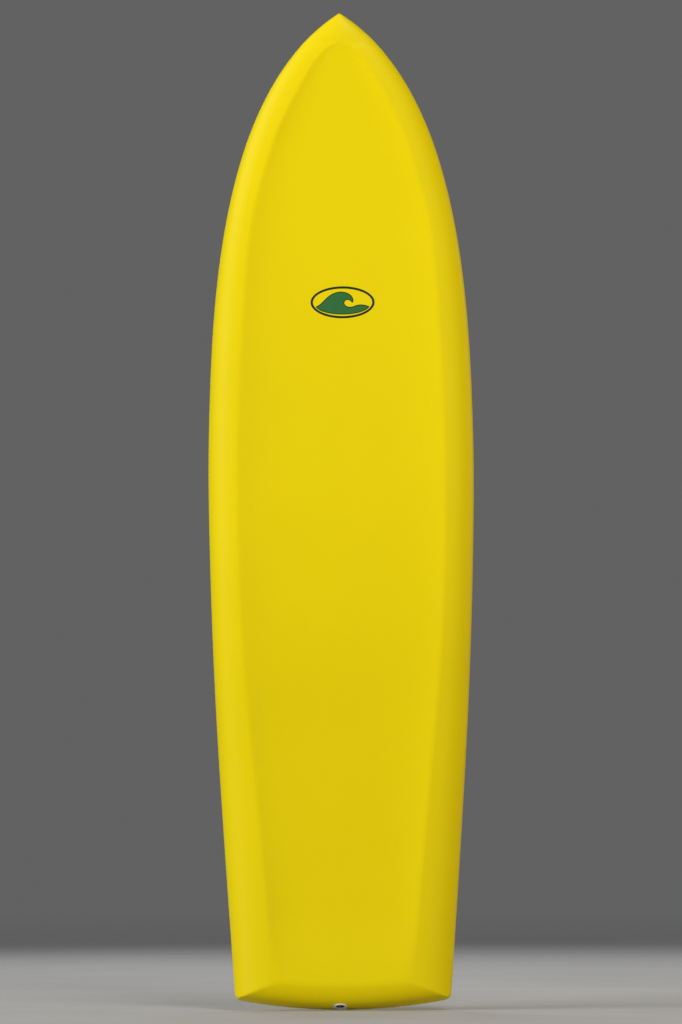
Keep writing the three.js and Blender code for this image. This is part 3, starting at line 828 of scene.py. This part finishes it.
def grown(loop, by):
    """The outline moved out by a distance, with its corners kept short."""
    p = np.array(loop)
    a, b = np.roll(p, 1, 0), np.roll(p, -1, 0)
    e1, e2 = p - a, b - p
    e1 /= np.maximum(np.linalg.norm(e1, axis=1, keepdims=True), 1e-9)
    e2 /= np.maximum(np.linalg.norm(e2, axis=1, keepdims=True), 1e-9)
    area = 0.5 * np.sum(p[:, 0] * b[:, 1] - b[:, 0] * p[:, 1])
    s = 1 if area > 0 else -1
    n = np.stack([(e1 + e2)[:, 1], -(e1 + e2)[:, 0]], -1) * s
    length = np.maximum(np.linalg.norm(n, axis=1, keepdims=True), 0.9)
    return [tuple(q) for q in p + n / length * by * np.minimum(2 / length, 1.35)]


def decal(name, loop, top, low=-0.25, step=3.0):
    """A closed plate that follows the deck: the outline filled with a fine triangle net."""
    p = [Vector(q) for q in loop]
    n = len(p)
    xs, ys = [q[0] for q in loop], [q[1] for q in loop]
    inner_points = []
    for gx in np.arange(min(xs), max(xs), step):
        for gy in np.arange(min(ys), max(ys), step):
            inner_points.append(Vector((float(gx), float(gy))))
    made = delaunay_2d_cdt(p + inner_points, [], [list(range(n))], 1, 1e-5)
    xy = np.array([tuple(v) for v in made[0]])
    faces = [list(f) for f in made[2]]
    fixed = []
    for f in faces:  # anticlockwise in x-z seen from -y faces the deck's side
        a, b, c = xy[f[0]], xy[f[1]], xy[f[2]]
        turn = (b[0] - a[0]) * (c[1] - a[1]) - (c[0] - a[0]) * (b[1] - a[1])
        fixed.append(f if turn > 0 else f[::-1])
    return shell(name, deck_points(xy, top), deck_points(xy, low), fixed, 60)


def ring_decal(name, rx, ry, width, top, low=-0.25, steps=200, rows=4):
    xy = []
    for j in range(rows + 1):
        q = j / rows
        for k in range(steps):
            a = 2 * math.pi * k / steps
            xy.append(((rx - width * q) * math.cos(a), (ry - width * q) * math.sin(a)))
    xy = np.array(xy)
    faces = []
    for j in range(rows):
        for k in range(steps):
            q = (k + 1) % steps
            faces.append([j * steps + k, j * steps + q, (j + 1) * steps + q, (j + 1) * steps + k])
    return shell(name, deck_points(xy, top), deck_points(xy, low), faces, 60)


wave_loop = bezier(
    (-50, -9),
    ((-36, -4), (-30, 16), (-6, 19)),
    ((10, 20), (21, 11), (19, 1)),
    ((14, 8), (4, 8), (2, 1)),
    ((0, -8), (12, -13), (22, -9)),
    ((34, -4), (42, -6), (50, -9)),
    ((40, -19), (18, -22), (0, -22)),
    ((-20, -22), (-42, -18), (-50, -9)),
)
ring = ring_decal("emblem_ring_print", 62, 31, 4.5, 0.10)
piece(ring, "dark", "emblem_dark", "board", "emblem_ring")
outline = decal("emblem_wave_outline", grown(wave_loop, 1.7), 0.08)
piece(outline, "dark", "emblem_dark", "board")
wave = decal("emblem_wave_print", wave_loop, 0.16)
piece(wave, "green", "emblem_green", "board", "emblem_wave")


# ------------------------------------------------------------------ fin boxes, screws and fins
def fin_body(name, side, base, tall, matrix):
    scale = base / 112
    count = 34
    share = (1 - np.cos(np.linspace(0, math.pi, count))) / 2
    ds = np.concatenate([np.linspace(0, 0.86, 30), 1 - 0.14 * (1 - np.linspace(0, 1, 14)[1:]) ** 1.8])
    foil = lambda q: 5.2 * (0.2969 * np.sqrt(q) - 0.126 * q - 0.3516 * q**2 + 0.2843 * q**3 - 0.1036 * q**4)
    loops = []
    for d in ds:
        front, back = float(leading(d)) * scale, float(trailing(d)) * scale
        chord = front - back
        thick = 7.0 * (1 - 0.72 * d) * scale
        lean = 2.0 * scale * (1 - 0.7 * d)
        out = [(front - q * chord, -0.45 + thick * f * 1.02) for q, f in zip(share, foil(share))]
        flat_x = -0.87 - 0.25 * (1 - d)
        mid = (-0.45 + flat_x) / 2
        soft = np.minimum(1, np.sqrt(np.minimum(share, 1 - share) / 0.035))
        flat = [(front - q * chord, mid + (flat_x - mid) * m) for q, m in zip(share, soft)][::-1][1:-1]
        out[0] = (out[0][0], mid)
        out[-1] = (out[-1][0], mid)
        loops.append([(side * (x - lean), FIN_SEAT + d * tall, z) for z, x in out + flat])
    blade = loft(name, loops, matrix, 45)
    tab = loft(
        "tab",
        [
            rect_loop(-TAB_T / 2 + e, TAB_T / 2 - e, TAB_FROM + e, TAB_TO - e, y, 1.6)
            for y, e in (
                (FIN_SEAT - TAB_DEPTH, 0.8),
                (FIN_SEAT - TAB_DEPTH + 0.25, 0.3),
                (FIN_SEAT - TAB_DEPTH + 0.8, 0.0),
                (FIN_SEAT + 1.2, 0.0),
            )
        ],
        matrix,
    )
    boolean(blade, tab, "UNION")
    shade(blade, 38)
    return blade


for i, (name, side, _, _, _, cant, base, tall) in enumerate(FINS):
    f = box_frames[i]
    fin_frame = f @ Matrix.Rotation(-side * math.radians(cant), 4, "Z")
    flange = loft(
        f"box_{name}",
        [
            slotted_loop(-BOX_LENGTH / 2 + e, BOX_LENGTH / 2 - e, BOX_WIDTH - 2 * e, y, 24)
            for y, e in ((-BOX_FLANGE_T, 0.0), (-0.7, 0.0), (-0.3, 0.08), (-0.1, 0.25), (0.0, 0.6), (0.02, 1.3))
        ],
        f,
    )
    body = loft(
        "box_body",
        [
            slotted_loop(-BOX_LENGTH / 2 + 3 + e, BOX_LENGTH / 2 - 3 - e, BOX_BODY_WIDTH - 2 * e, y, 20)
            for y, e in ((-BOX_DEPTH, 0.7), (-BOX_DEPTH + 0.6, 0.0), (-1.0, 0.0))
        ],
        f,
    )
    boolean(flange, body, "UNION")
    x = TAB_T / 2 + TAB_PLAY
    well = loft(
        "well",
        [
            rect_loop(-x - e, x + e, TAB_FROM - 0.4 - e, TAB_TO + 0.4 + e, y, 1.8 + e)
            for y, e in ((-TAB_DEPTH - 0.5, 0.0), (-0.55, 0.0), (-0.2, 0.12), (0.6, 0.9), (8, 0.9))
        ],
        fin_frame,
    )
    boolean(flange, well)
    hole = lathe(
        "hole",
        [(0, -12.5), (SCREW_R + SCREW_PLAY, -12.5), (SCREW_R + SCREW_PLAY, -0.5), (SCREW_R + SCREW_PLAY + 1.4, 0.9)]
        + [(SCREW_R + SCREW_PLAY + 1.4, 6), (0, 6)],
        f @ Matrix.Translation((0, 0, SCREW_AT)),
        48,
    )
    boolean(flange, hole)
    shade(flange, 38)
    piece(flange, "box", "fin_box", "board", f"fin_box_{name}")

    turns = [(SCREW_R - 0.02, -0.35)]
    for k in range(10):
        turns += [(SCREW_R - 0.28, -0.75 - 0.8 * k), (SCREW_R - 0.02, -1.15 - 0.8 * k)]
    screw = lathe(
        f"screw_{name}",
        [(0, -SCREW_LENGTH), (SCREW_R - 0.6, -SCREW_LENGTH)]
        + turns[::-1]
        + [(SCREW_R - 0.35, 0.0), (0, 0.0)],
        f @ Matrix.Translation((0, -SCREW_SUNK, SCREW_AT)),
        48,
        30,
    )
    hexagon = loft(
        "hex",
        [
            [(1.45 * g * math.sin(math.radians(60 * k)), y, 1.45 * g * math.cos(math.radians(60 * k))) for k in range(6)]
            for y, g in ((-2.5, 1.0), (-0.25, 1.0), (0.2, 1.25), (1.5, 1.25))
        ],
        f @ Matrix.Translation((0, -SCREW_SUNK, SCREW_AT)),
    )
    boolean(screw, hexagon)
    shade(screw, 30)
    piece(screw, "steel", "steel", f"grub_screw_{name}", f"grub_screw_{name}")

    fin = fin_body(f"blade_{name}", side, base, tall, fin_frame)
    piece(fin, "fin", "fin", f"fin_{name}", f"fin_{name}")

# ------------------------------------------------------------------ stage, light and camera
BACK = (0.122, 0.122, 0.122)


def floor():
    steps, radii = 96, [0.0, 0.5, 1.0, 2.0, 3.0, 4.0, 5.5, 7.0, 9.0]
    points, faces = [(0.0, 0.0, 0.0)], []
    for r in radii[1:]:
        points += [(r * math.cos(2 * math.pi * k / steps), r * math.sin(2 * math.pi * k / steps), 0.0) for k in range(steps)]
    for k in range(steps):
        faces.append([0, 1 + k, 1 + (k + 1) % steps])
    for j in range(len(radii) - 2):
        a, b = 1 + j * steps, 1 + (j + 1) * steps
        for k in range(steps):
            q = (k + 1) % steps
            faces.append([a + k, b + k, b + q, a + q])
    obj = mesh_object("floor", points, faces)
    obj.location = (0, 0, -0.0012)
    n = Nodes("floor")
    n.base(n.mix(n.span(n.noise(3.0, 3.0), 0.3, 0.7, 0, 1), (0.36, 0.36, 0.36), (0.385, 0.385, 0.385)))
    n.rough(n.span(n.noise(60, 2), 0.3, 0.7, 0.75, 0.9))
    n.set(Specular_IOR_Level=0.1)
    length = n.add("ShaderNodeVectorMath", operation="LENGTH")
    n.link(n.where, length.inputs[0])
    fade = n.span(length.outputs["Value"], 1.5, 8.0, 0, 1)
    fade = n.math("POWER", fade, 0.7, True)
    clear = n.add("ShaderNodeBsdfTransparent")
    mixed = n.add("ShaderNodeMixShader")
    n.link(fade, mixed.inputs["Fac"])
    n.link(n.bsdf.outputs["BSDF"], mixed.inputs[1])
    n.link(clear.outputs["BSDF"], mixed.inputs[2])
    n.link(mixed.outputs["Shader"], n.out.inputs["Surface"])
    obj.data.materials.append(n.mat)
    return obj


floor()
world = bpy.data.worlds.new("studio")
scene.world = world
world.use_nodes = True
world.node_tree.nodes["Background"].inputs["Color"].default_value = (*BACK, 1)
world.node_tree.nodes["Background"].inputs["Strength"].default_value = 1.0


def area(name, at, aim, size, power, size_y=None):
    light = bpy.data.lights.new(name, "AREA")
    light.shape = "RECTANGLE"
    light.size, light.size_y = size, size_y or size
    light.energy = power
    obj = bpy.data.objects.new(name, light)
    obj.location = at
    obj.rotation_euler = (Vector(aim) - Vector(at)).to_track_quat("-Z", "Y").to_euler()
    scene.collection.objects.link(obj)
    return obj


def around(name, turn, high, power, size=1.4, far=3.6, tint=(1, 1, 1), aim=(0, 0, 1.0)):
    """A soft light on a circle about the board, turned from straight in front towards +x, aimed at its middle."""
    t = math.radians(turn)
    obj = area(name, (far * math.sin(t), -far * math.cos(t), high), aim, size, power)
    obj.data.color = tint
    return obj


WARM = (1.0, 0.74, 0.48)
around("key_high", -72, 3.3, 168, 2.3, 6.0)
around("front_high", 15, 3.4, 92)
around("key_low", -50, 2.2, 122, 2.3, 6.0)
around("fill_low", 40, 1.1, 20, tint=WARM)
around("side_low", 110, 1.3, 17, tint=WARM)
for light in (around("back_left", -162, 2.4, 80, 2.0, 4.2), around("back_right", 160, 2.3, 60, 2.0, 4.2)):
    light.visible_glossy = False

cam = bpy.data.cameras.new("camera")
cam.lens, cam.sensor_width, cam.sensor_fit = 600, 36, "AUTO"
cam.clip_start, cam.clip_end = 0.5, 120
cam.dof.use_dof = False
camera = bpy.data.objects.new("camera", cam)
scene.collection.objects.link(camera)
D = 33.10
camera.location = (-0.0006, 0.02 - D, 0.9648)
camera.rotation_euler = (Matrix.Rotation(math.radians(90), 4, "X") @ Matrix.Rotation(math.radians(-0.22), 4, "Z")).to_euler()
scene.camera = camera
scene.view_settings.view_transform = "Standard"
scene.view_settings.look = "None"
scene.view_settings.exposure = 0.0
scene.view_settings.gamma = 1.0

bpy.context.view_layer.update()
